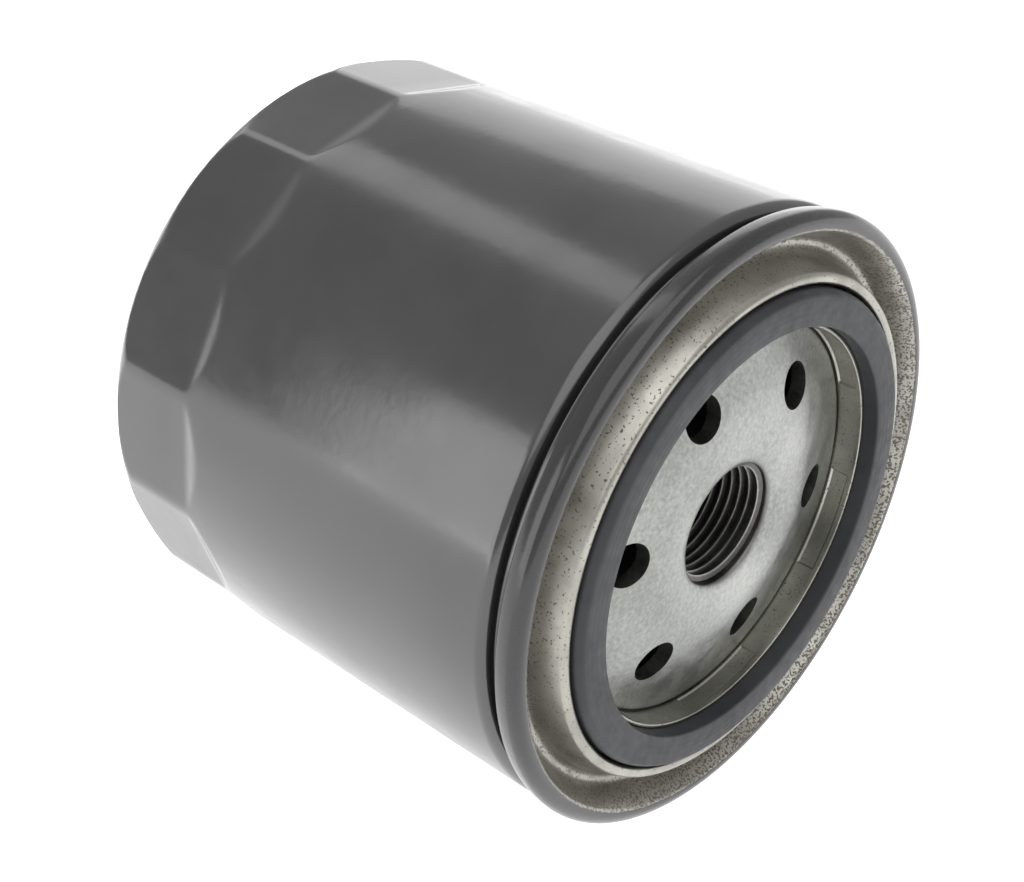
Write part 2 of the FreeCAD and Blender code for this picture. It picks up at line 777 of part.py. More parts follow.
def make_clip():
    """Seam clip: a folded steel channel that joins the strip's two ends over one pleat."""
    body = new_body("media_seam_clip")
    inner = f"({PLEAT_OUTER} * sin(90 deg / pleat_count) + paper_thickness / 2 + clip_fit)"
    outer = f"({inner} + clip_wall)"
    top = f"({PLEAT_OUTER} + clip_fit)"
    foot = f"({PLEAT_OUTER} - clip_leg)"
    sketch = new_sketch(body, "clip_outline", role="YZ_Plane", shift=PAPER_BOTTOM)
    draw_outline(
        sketch,
        [
            (foot, inner),
            (top, inner),
            (top, f"(-{inner})"),
            (foot, f"(-{inner})"),
            (foot, f"(-{outer})"),
            (f"({top} + clip_wall)", f"(-{outer})"),
            (f"({top} + clip_wall)", outer),
            (foot, outer),
        ],
    )
    pad = body.newObject("PartDesign::Pad", "clip_length")
    pad.Profile = sketch
    pad.setExpression("Length", bound(f"{PAPER_TOP} - {PAPER_BOTTOM}"))
    doc.recompute()
    return body


def make_bypass_seat():
    """Bypass seat: a flat steel ring crimped over the lower cap's hole."""
    body = new_body("bypass_seat")
    turn_outline(
        body,
        "bypass_seat",
        [
            (GLUE_BOTTOM, "bypass_bore"),
            (SEAT_FACE, "bypass_bore"),
            (SEAT_FACE, CAGE_FLANGE),
            (GLUE_BOTTOM, CAGE_FLANGE),
        ],
    )
    return body


def make_cage():
    """Bypass cage: a drawn cup with four windows; its roof guides the stem and takes the spring."""
    body = new_body("bypass_valve_cage")
    turn_outline(
        body,
        "bypass_valve_cage",
        [
            (SEAT_FACE, CAGE_RADIUS),
            (SEAT_FACE, CAGE_FLANGE),
            (f"({SEAT_FACE} + cage_wall)", CAGE_FLANGE),
            (f"({SEAT_FACE} + cage_wall)", f"({CAGE_RADIUS} + cage_wall)"),
            (CAGE_TOP, f"({CAGE_RADIUS} + cage_wall)"),
            (CAGE_TOP, STEM_HOLE),
            (CAGE_ROOF, STEM_HOLE),
            (CAGE_ROOF, CAGE_RADIUS),
        ],
    )
    sketch = new_sketch(body, "cage_window")
    draw_outline(
        sketch,
        [
            (f"({SEAT_FACE} + 3 * cage_wall)", "(-cage_window_width / 2)"),
            (f"({CAGE_ROOF} - 2 * cage_wall)", "(-cage_window_width / 2)"),
            (f"({CAGE_ROOF} - 2 * cage_wall)", "(cage_window_width / 2)"),
            (f"({SEAT_FACE} + 3 * cage_wall)", "(cage_window_width / 2)"),
        ],
    )
    pocket = body.newObject("PartDesign::Pocket", "cage_window_cut")
    pocket.Profile = sketch
    pocket.Reversed = True
    pocket.setExpression("Length", bound(CAGE_FLANGE))
    doc.recompute()
    repeat_around(body, "cage_windows", pocket, "cage_window_count")
    return body


def make_poppet():
    """Bypass poppet: steel disc and stem, turned in one piece."""
    body = new_body("bypass_poppet")
    turn_outline(
        body,
        "bypass_poppet",
        [
            (DISC_FACE, "0"),
            (DISC_FACE, DISC_RADIUS),
            (DISC_BACK, DISC_RADIUS),
            (DISC_BACK, "stem_radius"),
            (STEM_END, "stem_radius"),
            (STEM_END, "0"),
        ],
    )
    return body


def make_poppet_rings():
    """Bypass seal bonded under the disc, and the push-on clip that keeps the stem in the cage."""
    seal = new_body("bypass_seal")
    seal_bore = "(bypass_bore - bypass_seal_reach)"
    turn_outline(
        seal,
        "bypass_seal",
        [
            (SEAT_FACE, seal_bore),
            (SEAT_FACE, DISC_RADIUS),
            (DISC_FACE, DISC_RADIUS),
            (DISC_FACE, seal_bore),
        ],
    )
    clip = new_body("stem_clip")
    near = f"({CAGE_TOP} + stem_clip_gap)"
    rim = f"({STEM_HOLE} + stem_clip_lap)"
    turn_outline(
        clip,
        "stem_clip",
        [
            (near, "stem_radius"),
            (near, rim),
            (f"({near} + stem_clip_wall)", rim),
            (f"({near} + stem_clip_wall)", "stem_radius"),
        ],
    )
    return [seal, clip]


def make_springs():
    """Two wire springs: one closes the bypass, one holds the element against its seal."""
    bypass = new_body("bypass_spring")
    wind_coil(
        bypass,
        "bypass_spring",
        f"({DISC_BACK} + bypass_wire_radius)",
        "bypass_coil_radius",
        "bypass_wire_radius",
        f"({CAGE_ROOF} - {DISC_BACK} - 2 * bypass_wire_radius)",
        "bypass_turns",
    )
    hold = new_body("hold_down_spring")
    wind_coil(
        hold,
        "hold_down_spring",
        f"({CAN_FLOOR} + hold_wire_radius)",
        "hold_coil_radius",
        "hold_wire_radius",
        f"({SPRING_SEAT_BACK} - {CAN_FLOOR} - 2 * hold_wire_radius)",
        "hold_turns",
    )
    return [bypass, hold]


def make_spring_seat():
    """Spring seat: a steel ring under the lower cap with a lip that centres the spring."""
    body = new_body("spring_seat")
    lip_outer = "(hold_coil_radius - hold_wire_radius - spring_seat_play)"
    rim = "(hold_coil_radius + hold_wire_radius + spring_seat_land)"
    turn_outline(
        body,
        "spring_seat",
        [
            (ELEMENT_END, f"({lip_outer} - spring_seat_wall)"),
            (ELEMENT_END, rim),
            (SPRING_SEAT_BACK, rim),
            (SPRING_SEAT_BACK, lip_outer),
            (f"({SPRING_SEAT_BACK} - spring_seat_lip)", lip_outer),
            (f"({SPRING_SEAT_BACK} - spring_seat_lip)", f"({lip_outer} - spring_seat_wall)"),
        ],
    )
    return body


can = make_can()
lid = make_lid()
make_crimps(lid)
plate = make_thread_plate()
cut_inlets(plate)
cut_thread(plate)

pieces = [
    can,
    lid,
    make_sealant(),
    plate,
    make_gasket(),
    make_anti_drain_valve(),
    make_element_seal(),
    *make_caps(),
    *make_glue(),
    make_media(),
    make_clip(),
    make_tube(),
    make_bypass_seat(),
    make_cage(),
    make_poppet(),
    *make_poppet_rings(),
    *make_springs(),
    make_spring_seat(),
]
doc.recompute()

for item in doc.Objects:
    if "Invalid" in item.State or "Error" in item.State:
        raise RuntimeError(f"{item.Label} did not recompute: {item.State}")
for piece in pieces:
    if piece.Shape.isNull() or not piece.Shape.isValid() or not piece.Shape.Solids:
        raise RuntimeError(f"{piece.Label} is not a valid solid")

os.makedirs("parts", exist_ok=True)
for piece in pieces:
    piece.Shape.exportStep(f"parts/{piece.Label}.step")
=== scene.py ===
import math

import bpy
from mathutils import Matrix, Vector


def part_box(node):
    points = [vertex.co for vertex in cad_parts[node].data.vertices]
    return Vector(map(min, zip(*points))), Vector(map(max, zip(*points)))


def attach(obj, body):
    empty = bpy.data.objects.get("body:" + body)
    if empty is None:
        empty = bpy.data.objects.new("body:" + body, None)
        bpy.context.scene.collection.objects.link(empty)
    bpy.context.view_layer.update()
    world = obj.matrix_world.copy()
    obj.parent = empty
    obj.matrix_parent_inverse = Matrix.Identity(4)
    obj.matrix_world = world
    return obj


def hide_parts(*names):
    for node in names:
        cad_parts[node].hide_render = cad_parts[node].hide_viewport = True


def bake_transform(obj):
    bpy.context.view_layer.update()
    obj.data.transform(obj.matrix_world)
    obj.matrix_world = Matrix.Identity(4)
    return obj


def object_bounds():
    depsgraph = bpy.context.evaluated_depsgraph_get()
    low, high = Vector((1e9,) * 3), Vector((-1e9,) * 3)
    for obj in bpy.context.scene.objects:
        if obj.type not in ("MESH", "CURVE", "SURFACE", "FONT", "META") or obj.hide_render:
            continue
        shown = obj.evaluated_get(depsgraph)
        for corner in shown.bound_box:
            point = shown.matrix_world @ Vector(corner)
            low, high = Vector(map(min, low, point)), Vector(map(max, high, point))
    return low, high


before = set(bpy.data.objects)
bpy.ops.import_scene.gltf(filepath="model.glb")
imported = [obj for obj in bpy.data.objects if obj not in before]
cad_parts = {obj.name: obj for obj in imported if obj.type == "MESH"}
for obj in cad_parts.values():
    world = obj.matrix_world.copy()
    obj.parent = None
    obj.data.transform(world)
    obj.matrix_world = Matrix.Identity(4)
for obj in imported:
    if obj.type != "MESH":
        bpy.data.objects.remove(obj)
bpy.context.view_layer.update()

mm = 0.001

# ---------------------------------------------------------------------------------------------
# Can. One cup of deep-drawn steel, sprayed gloss black after the seam is rolled. Its closed end
# is pressed into a ring of fifteen wrench flats, and its open end is necked in under the seam.


def turned(name, outline, steps=240, close=True):
    """Extrude a circle from ring to ring along X, through (x, radius) corners in millimetres."""
    bpy.ops.object.select_all(action="DESELECT")
    x, radius = outline[0]
    bpy.ops.mesh.primitive_circle_add(
        vertices=steps,
        radius=radius * mm,
        location=(x * mm, 0, 0),
        rotation=(0, math.pi / 2, 0),
    )
    piece = bpy.context.object
    piece.name = piece.data.name = name
    bpy.ops.object.transform_apply(location=True, rotation=True, scale=True)
    bpy.ops.object.mode_set(mode="EDIT")
    bpy.ops.mesh.select_all(action="SELECT")
    stations = outline[1:] + outline[:1] if close else outline[1:]
    for next_x, next_radius in stations:
        bpy.ops.mesh.extrude_region_move(
            TRANSFORM_OT_translate={"value": ((next_x - x) * mm, 0, 0)}
        )
        ratio = next_radius / radius
        if abs(ratio - 1) > 1e-6:
            bpy.ops.transform.resize(
                value=(1, ratio, ratio), center_override=(next_x * mm, 0, 0)
            )
        x, radius = next_x, next_radius
    bpy.ops.mesh.select_all(action="SELECT")
    bpy.ops.mesh.remove_doubles(threshold=1e-6)
    bpy.ops.mesh.normals_make_consistent(inside=False)
    bpy.ops.object.mode_set(mode="OBJECT")
    return piece


def pick(piece, kind, wanted):
    """Select a piece's vertices, edges or faces by their place, and open it in edit mode."""
    bpy.ops.object.select_all(action="DESELECT")
    bpy.context.view_layer.objects.active = piece
    piece.select_set(True)
    bpy.ops.object.mode_set(mode="EDIT")
    bpy.ops.mesh.select_mode(type=kind)
    bpy.ops.mesh.select_all(action="DESELECT")
    bpy.ops.object.mode_set(mode="OBJECT")
    mesh = piece.data
    if kind == "VERT":
        for vertex in mesh.vertices:
            vertex.select = wanted(vertex.co)
    elif kind == "EDGE":
        for edge in mesh.edges:
            edge.select = all(wanted(mesh.vertices[v].co) for v in edge.vertices)
    else:
        for face in mesh.polygons:
            face.select = wanted(face.center)
    bpy.ops.object.mode_set(mode="EDIT")


def reach(point):
    """Distance from the filter's axis, in millimetres."""
    return math.hypot(point.y, point.z) / mm


def round_rings(piece, bends):
    """Bevel the rings at (x, radius, bevel width, segments), all in millimetres."""
    for x, radius, width, segments in bends:
        pick(
            piece,
            "EDGE",
            lambda p: abs(p.x / mm - x) < 0.02 and abs(reach(p) - radius) < 0.02,
        )
        bpy.ops.mesh.bevel(offset=width * mm, segments=segments, affect="EDGES")
        bpy.ops.object.mode_set(mode="OBJECT")


def smooth(piece, angle=40):
    """Shade the piece smooth, leaving edges sharper than the angle as creases."""
    bpy.ops.object.select_all(action="DESELECT")
    bpy.context.view_layer.objects.active = piece
    piece.select_set(True)
    bpy.ops.object.shade_smooth_by_angle(angle=math.radians(angle))


def new_material(name):
    """A node material with its shader, and a function that adds and joins nodes."""
    material = bpy.data.materials.new(name)
    material.use_nodes = True
    tree = material.node_tree
    shader = tree.nodes["Principled BSDF"]
    place = tree.nodes.new("ShaderNodeTexCoord").outputs["Object"]

    def add(kind, settings=None, **inputs):
        node = tree.nodes.new(kind)
        for key, value in (settings or {}).items():
            setattr(node, key, value)
        for key, value in inputs.items():
            by_number = key[0] == "i" and key[1:].isdigit()
            socket = node.inputs[int(key[1:]) if by_number else key]
            if isinstance(value, bpy.types.NodeSocket):
                tree.links.new(value, socket)
            else:
                socket.default_value = value
        return node

    return material, tree, shader, place, add


def noise(add, place, scale, detail=4.0, rough=0.55):
    """Fractal noise at a scale in features per metre."""
    return add(
        "ShaderNodeTexNoise", Vector=place, Scale=scale, Detail=detail, Roughness=rough
    ).outputs["Fac"]


def ramp(add, value, low, high, start=0.0, end=1.0):
    """Value mapped from low..high to start..end, clamped."""
    return add(
        "ShaderNodeMapRange",
        {"clamp": True},
        Value=value,
        **{"From Min": low, "From Max": high, "To Min": start, "To Max": end},
    ).outputs["Result"]


def blend_colour(add, share, first, second):
    """A colour between two, where either may come from another node."""
    return add("ShaderNodeMix", {"data_type": "RGBA"}, i0=share, i6=first, i7=second).outputs[2]


def tint(add, share, first, second):
    """A colour between two colours."""
    return blend_colour(add, share, (*first, 1), (*second, 1))


def maths(add, operation, first, second=0.0):
    """One sum on two values."""
    return add("ShaderNodeMath", {"operation": operation}, i0=first, i1=second).outputs[0]


def bump(add, tree, shader, height, depth):
    """Raise the surface by a height field whose full range is depth, in metres."""
    node = add("ShaderNodeBump", Height=height, Distance=depth, Strength=1.0)
    tree.links.new(node.outputs["Normal"], shader.inputs["Normal"])
    return node


def wear(piece, material):
    """Give the piece this one material."""
    piece.data.materials.clear()
    piece.data.materials.append(material)


low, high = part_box("can")
can_end = low[0] / mm
can_radius = high[2] / mm
flat_count = 15
flat_start = 19.0
flat_ramp = 5.0
end_round = 7.0
neck_radius = 45.4
shoulder = -8.2

end_rings = [
    (
        can_end + end_round * (1 - math.cos(math.radians(turn))),
        min(can_radius - end_round * (1 - math.sin(math.radians(turn))), can_radius - 0.12),
    )
    for turn in range(0, 91, 3)
]
ramp_rings = [can_end + flat_start + flat_ramp * step / 8 for step in range(9)]
can = turned(
    "can_shell",
    [
        (can_end + 0.5, 2.0),
        (can_end + 0.5, 31.0),
        (can_end, 33.0),
        *end_rings,
        (can_end + 11.0, can_radius - 0.12),
        (can_end + 15.0, can_radius - 0.12),
        *[(x, can_radius - 0.12 * (1 - step / 8)) for step, x in enumerate(ramp_rings)],
        (-50.0, can_radius),
        (-30.0, can_radius),
        (shoulder, can_radius),
        (shoulder + 0.15, neck_radius),
        (-3.3, neck_radius),
    ],
    steps=360,
    close=False,
)
round_rings(can, [(shoulder, can_radius, 1.75, 10), (shoulder + 0.15, neck_radius, 0.35, 4)])
apothem = can_radius * math.cos(math.pi / flat_count)
levels = [(None, apothem)]
for step, x in enumerate(ramp_rings):
    share = (step / 8) ** 2 * (3 - 2 * step / 8)
    levels.append((x, apothem + (can_radius - apothem) * share))
for number in range(flat_count):
    angle = math.radians(90 + (number + 0.5) * 360 / flat_count)
    outward = Vector((0, math.cos(angle), math.sin(angle)))
    for ring, level in levels:
        pick(
            can,
            "VERT",
            lambda p: p.dot(outward) / mm > level
            and (p.x / mm < ramp_rings[0] - 0.1 if ring is None else abs(p.x / mm - ring) < 0.1),
        )
        bpy.ops.transform.resize(
            value=(1, 0, 1),
            orient_matrix=((1, 0, 0), tuple(outward), (0, -outward.z, outward.y)),
            orient_matrix_type="LOCAL",
            orient_type="LOCAL",
            center_override=tuple(outward * level * mm),
        )
        bpy.ops.object.mode_set(mode="OBJECT")
pick(can, "EDGE", lambda p: abs(p.x / mm - can_end - 0.5) < 0.01 and reach(p) < 2.1)
bpy.ops.mesh.edge_face_add()
bpy.ops.mesh.select_all(action="SELECT")
bpy.ops.mesh.normals_make_consistent(inside=False)
bpy.ops.object.mode_set(mode="OBJECT")
sheet = can.modifiers.new("wall", "SOLIDIFY")
sheet.thickness = 0.6 * mm
sheet.offset = -1
bpy.ops.object.modifier_apply(modifier="wall")
smooth(can, 16)

material, tree, shader, place, add = new_material("gloss_black_paint")
mottle = noise(add, place, 45, 5)
shader.inputs["IOR"].default_value = 1.7
tree.links.new(
    tint(add, ramp(add, mottle, 0.35, 0.65), (0.012, 0.012, 0.013), (0.02, 0.02, 0.021)),
    shader.inputs["Base Color"],
)
haze = noise(add, place, 130, 3)
tree.links.new(ramp(add, haze, 0.3, 0.7, 0.14, 0.22), shader.inputs["Roughness"])
peel = noise(add, place, 650, 2)
bump(add, tree, shader, peel, 0.000012)
wear(can, material)
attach(can, "housing")
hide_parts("can")

# ---------------------------------------------------------------------------------------------
# Seaming lid. Thin steel stamped with a recess, a ridge, the gasket's groove and an inner
# collar, and curled over the can's edge. The spray reaches the bead and dusts the recess.
lid = turned(
    "lid_stamping",
    [
        (-3.7, 45.9),
        (-6.2, 45.9),
        (-6.2, 47.6),
        (-4.4, 48.0),
        (-3.2, 47.95),
        (-2.2, 46.9),
        (-2.2, 45.3),
        (-4.4, 44.0),
        (-7.1, 42.9),
        (-7.1, 41.4),
        (-1.2, 39.3),
        (-1.2, 37.8),
        (-7.1, 37.8),
        (-7.1, 31.9),
        (-2.6, 31.9),
        (-2.6, 31.3),
        (-3.5, 31.3),
        (-6.6, 31.3),
        (-7.7, 31.3),
        (-7.7, 38.4),
        (-1.8, 38.4),
        (-1.8, 38.6),
        (-7.7, 40.0),
        (-7.7, 43.2),
        (-2.8, 45.0),
        (-2.8, 47.4),
        (-5.6, 47.4),
        (-5.6, 46.5),
        (-3.7, 46.5),
    ],
    steps=360,
)
pick(
    lid,
    "FACE",
    lambda p: -6.5 < p.x / mm < -3.6
    and abs(reach(p) - 31.3) < 0.05
    and (math.degrees(math.atan2(p.z, p.y)) - 18) % 60 < 30,
)
bpy.ops.mesh.inset(thickness=0.25 * mm)
bpy.ops.transform.resize(value=(1, 31.55 / 31.3, 31.55 / 31.3), center_override=(0, 0, 0))
bpy.ops.object.mode_set(mode="OBJECT")
round_rings(
    lid,
    [
        (-6.2, 47.6, 0.5, 4),
        (-4.4, 48.0, 0.6, 3),
        (-3.2, 47.95, 0.55, 3),
        (-2.2, 46.9, 0.75, 5),
        (-2.2, 45.3, 0.5, 5),
        (-7.1, 42.9, 0.7, 6),
        (-7.1, 41.4, 0.7, 6),
        (-1.2, 39.3, 0.75, 6),
        (-1.2, 37.8, 0.65, 6),
        (-2.6, 31.3, 0.2, 4),
        (-2.6, 31.9, 0.2, 4),
    ],
)
smooth(lid, 35)


def axis_distance(add, place):
    """Distance from the filter's axis, in metres, as a shader value."""
    axes = add("ShaderNodeSeparateXYZ", Vector=place)
    across = maths(add, "POWER", axes.outputs["Y"], 2.0)
    up = maths(add, "POWER", axes.outputs["Z"], 2.0)
    return maths(add, "POWER", maths(add, "ADD", across, up), 0.5)


material, tree, shader, place, add = new_material("sprayed_lid_steel")
radius = axis_distance(add, place)
ragged = ramp(add, noise(add, place, 900, 3), 0.0, 1.0, -0.0003, 0.0003)
edge = maths(add, "ADD", radius, ragged)
painted = ramp(add, edge, 0.0454, 0.0456)
speck_field = noise(add, place, 2600, 1, 0.4)
limit = ramp(add, radius, 0.0395, 0.0452, 0.68, 0.53)
specks = maths(add, "GREATER_THAN", speck_field, limit)
blotch = ramp(add, noise(add, place, 120, 5), 0.3, 0.7)
grey = tint(add, blotch, (0.21, 0.205, 0.18), (0.34, 0.335, 0.30))
spray = blend_colour(add, specks, grey, (0.07, 0.058, 0.045, 1))
tree.links.new(blend_colour(add, painted, spray, (0.014, 0.014, 0.015, 1)), shader.inputs["Base Color"])
bare = maths(add, "SUBTRACT", 1.0, maths(add, "MAXIMUM", painted, specks))
tree.links.new(bare, shader.inputs["Metallic"])
satin = ramp(add, noise(add, place, 300, 3), 0.3, 0.7, 0.26, 0.4)
rough = add("ShaderNodeMix", {"data_type": "FLOAT"}, i0=painted, i2=satin, i3=0.18)
tree.links.new(rough.outputs[0], shader.inputs["Roughness"])
raised = maths(add, "MULTIPLY", specks, 0.6)
bump(add, tree, shader, maths(add, "ADD", raised, noise(add, place, 700, 2)), 0.000012)
wear(lid, material)
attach(lid, "housing")
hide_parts("seaming_lid")

# ---------------------------------------------------------------------------------------------
# Thread plate. Thick hot-rolled steel, pressed to a raised boss with a threaded neck drawn
# inward and six punched inlets. Bare metal and blotchy, with painted shade darkening the thread roots
# in the bore.
plate = turned(
    "thread_plate_pressing",
    [
        (-7.7, 42.6),
        (-7.7, 31.1),
        (-6.85, 31.1),
        (-6.7, 28.9),
        (-4.74, 22.5),
        (-3.55, 17.6),
        (-3.4, 14.0),
        (-3.6, 11.6),
        (-3.95, 10.3),
        (-4.5, 9.6),
        (-18.6, 9.53),
        (-18.6, 12.2),
        (-6.4, 12.2),
        (-6.0, 18.1),
        (-9.2, 28.9),
        (-10.2, 31.5),
        (-10.2, 42.6),
    ],
    steps=288,
)
round_rings(
    plate,
    [
        (-6.85, 31.1, 0.35, 4),
        (-6.7, 28.9, 1.6, 5),
        (-3.55, 17.6, 2.2, 6),
        (-3.4, 14.0, 1.2, 5),
        (-3.95, 10.3, 0.6, 5),
        (-4.5, 9.6, 0.25, 3),
    ],
)
hole_circle = 22.5
hole_radius = 3.5
hole_clock = 48.0
bpy.ops.object.select_all(action="DESELECT")
cutters = []
for i in range(6):
    turn = math.radians(hole_clock + 60 * i)
    bpy.ops.mesh.primitive_cylinder_add(
        vertices=64,
        radius=hole_radius * mm,
        depth=14 * mm,
        location=(-6 * mm, hole_circle * math.cos(turn) * mm, hole_circle * math.sin(turn) * mm),
        rotation=(0, math.pi / 2, 0),
    )
    cutters.append(bpy.context.object)
for cutter in cutters:
    cutter.select_set(True)
bpy.ops.object.join()
punch = bpy.context.object
cut = plate.modifiers.new("inlets", "BOOLEAN")
cut.object = punch
cut.operation = "DIFFERENCE"
cut.solver = "EXACT"
bpy.context.view_layer.objects.active = plate
bpy.ops.object.modifier_apply(modifier="inlets")
bpy.data.objects.remove(punch, do_unlink=True)
smooth(plate, 28)

material, tree, shader, place, add = new_material("bare_plate_steel")
radius = axis_distance(add, place)
blotch = noise(add, place, 60, 6)
fine = noise(add, place, 1500, 3)
mixed = maths(add, "ADD", maths(add, "MULTIPLY", blotch, 0.6), maths(add, "MULTIPLY", fine, 0.4))
steel = tint(add, ramp(add, mixed, 0.38, 0.62), (0.19, 0.195, 0.185), (0.34, 0.345, 0.33))
# Painted shade: the thread roots and flanks inside the bore, 9.1 to 9.6 mm from the axis, are darkened
# towards near-black.
inside_bore = ramp(add, radius, 0.0096, 0.0102, 1.0, 0.0)
below_crests = ramp(add, radius, 0.0089, 0.0091)
painted_bore_shade = maths(add, "MULTIPLY", inside_bore, below_crests)
tree.links.new(
    blend_colour(add, maths(add, "MULTIPLY", painted_bore_shade, 0.8), steel, (0.05, 0.045, 0.04, 1)),
    shader.inputs["Base Color"],
)
shader.inputs["Metallic"].default_value = 1.0
tree.links.new(ramp(add, noise(add, place, 240, 4), 0.3, 0.7, 0.3, 0.46), shader.inputs["Roughness"])
bump(add, tree, shader, maths(add, "ADD", fine, noise(add, place, 220, 3)), 0.00003)
wear(plate, material)
plate_steel = material

# The thread is a V ridge wound right-handed round the bore, sixteen turns to the inch.
pitch = 25.4 / 16
crest, root = 8.84, 9.6
bpy.ops.object.select_all(action="DESELECT")
ridge_start = -18.0
depth = root - crest
flat = pitch / 8
foot = flat + 2 * depth * math.tan(math.radians(30))
middle = (root + crest) / 2
bpy.ops.mesh.primitive_plane_add(
    size=depth * mm,
    location=(ridge_start * mm, 0, middle * mm),
    rotation=(math.pi / 2, 0, 0),
)
ridge = bpy.context.object
ridge.name = ridge.data.name = "thread_ridge"
bpy.ops.object.transform_apply(location=True, rotation=True, scale=True)
centre = (ridge_start * mm, 0, 0)
pick(ridge, "VERT", lambda p: p.z / mm > middle)
bpy.ops.transform.resize(value=(foot / depth, 1, 1), center_override=centre)
bpy.ops.object.mode_set(mode="OBJECT")
pick(ridge, "VERT", lambda p: p.z / mm < middle)
bpy.ops.transform.resize(value=(flat / depth, 1, 1), center_override=centre)
bpy.ops.mesh.select_all(action="SELECT")
bpy.ops.mesh.delete(type="ONLY_FACE")
bpy.ops.object.mode_set(mode="OBJECT")
turns = 8
screw = ridge.modifiers.new("wind", "SCREW")
screw.axis = "X"
screw.angle = 2 * math.pi * turns
screw.screw_offset = pitch * turns * mm
screw.steps = screw.render_steps = 96 * turns
bpy.ops.object.modifier_apply(modifier="wind")
bpy.ops.object.mode_set(mode="EDIT")
bpy.ops.mesh.select_all(action="SELECT")
bpy.ops.mesh.fill_holes(sides=0)
bpy.ops.mesh.select_all(action="SELECT")
bpy.ops.mesh.normals_make_consistent(inside=False)
bpy.ops.object.mode_set(mode="OBJECT")
smooth(ridge, 40)
wear(ridge, plate_steel)
bpy.ops.object.select_all(action="DESELECT")
ridge.select_set(True)
plate.select_set(True)
bpy.context.view_layer.objects.active = plate
bpy.ops.object.join()
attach(plate, "housing")
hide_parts("thread_plate")

# ---------------------------------------------------------------------------------------------
# Anti-drain valve. Moulded rubber: the hub sits on the neck, and the skirt's rounded lip closes
# on the plate behind the inlets. The hub is fixed to the housing.
hub = turned("valve_hub", [(-5.9, 12.25), (-5.9, 14.6), (-16.0, 14.6), (-16.0, 12.25)], steps=128)
skirt = turned(
    "valve_skirt",
    [
        (-14.3, 14.5),
        (-11.0, 27.4),
        (-10.25, 28.6),
        (-10.25, 31.2),
        (-12.0, 31.2),
        (-12.1, 28.2),
        (-15.5, 14.5),
    ],
    steps=192,
)
round_rings(hub, [(-16.0, 14.6, 0.4, 4)])
round_rings(
    skirt,
    [
        (-11.0, 27.4, 0.5, 4),
        (-10.25, 28.6, 0.5, 4),
        (-10.25, 31.2, 0.5, 4),
        (-12.0, 31.2, 0.5, 4),
    ],
)
material, tree, shader, place, add = new_material("black_rubber")
dust = noise(add, place, 90, 5)
tree.links.new(
    tint(add, ramp(add, dust, 0.35, 0.7), (0.018, 0.018, 0.02), (0.038, 0.039, 0.042)),
    shader.inputs["Base Color"],
)
tree.links.new(ramp(add, noise(add, place, 400, 3), 0.3, 0.7, 0.42, 0.58), shader.inputs["Roughness"])
bump(add, tree, shader, noise(add, place, 1600, 2), 0.00001)
black_rubber = material
for piece in (hub, skirt):
    smooth(piece, 35)
    wear(piece, black_rubber)
    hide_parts("anti_drain_valve")
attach(hub, "housing")
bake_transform(skirt)

# ---------------------------------------------------------------------------------------------
# Face gasket. A square-cut ring of oil-proof rubber with faint turned lines on its face.
gasket = turned(
    "gasket_ring",
    [(-7.1, 32.0), (0.0, 32.0), (0.0, 36.7), (-1.2, 37.4), (-7.1, 37.4)],
    steps=320,
)
round_rings(gasket, [(0.0, 32.0, 0.35, 4), (0.0, 36.7, 0.4, 4), (-1.2, 37.4, 0.4, 4)])
smooth(gasket, 35)
material, tree, shader, place, add = new_material("gasket_rubber")
bloom = noise(add, place, 70, 5)
tree.links.new(
    tint(add, ramp(add, bloom, 0.3, 0.7), (0.016, 0.017, 0.019), (0.03, 0.031, 0.034)),
    shader.inputs["Base Color"],
)
tree.links.new(ramp(add, noise(add, place, 500, 3), 0.3, 0.7, 0.45, 0.6), shader.inputs["Roughness"])
shader.inputs["IOR"].default_value = 1.36
lines = add(
    "ShaderNodeTexWave",
    {"wave_type": "RINGS", "rings_direction": "X"},
    Vector=place,
    Scale=320,
    Distortion=0.3,
    Detail=1.0,
).outputs["Fac"]
bump(add, tree, shader, maths(add, "ADD", lines, noise(add, place, 900, 2)), 0.000012)
wear(gasket, material)
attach(gasket, "housing")
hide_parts("face_gasket")

# ---------------------------------------------------------------------------------------------
# Element. Tinplate caps, tube, valve cage and seat, glued to the folded paper. These keep their
# CAD shapes and take worked materials.


def metal(name, dark, light, smoothest, roughest, grain):
    """Bare sheet steel with blotches, fine grain and uneven polish."""
    material, tree, shader, place, add = new_material(name)
    blotch = ramp(add, noise(add, place, grain / 8, 5), 0.3, 0.7)
    tree.links.new(tint(add, blotch, dark, light), shader.inputs["Base Color"])
    shader.inputs["Metallic"].default_value = 1.0
    polish = ramp(add, noise(add, place, grain / 3, 4), 0.3, 0.7, smoothest, roughest)
    tree.links.new(polish, shader.inputs["Roughness"])
    bump(add, tree, shader, noise(add, place, grain, 3), 0.00001)
    return material


def soft(name, dark, light, smoothest, roughest, grain, depth):
    """A dull moulded, glued or pressed surface with its own grain."""
    material, tree, shader, place, add = new_material(name)
    blotch = ramp(add, noise(add, place, grain / 6, 5), 0.3, 0.7)
    tree.links.new(tint(add, blotch, dark, light), shader.inputs["Base Color"])
    polish = ramp(add, noise(add, place, grain / 2, 4), 0.3, 0.7, smoothest, roughest)
    tree.links.new(polish, shader.inputs["Roughness"])
    bump(add, tree, shader, noise(add, place, grain, 3), depth)
    return material


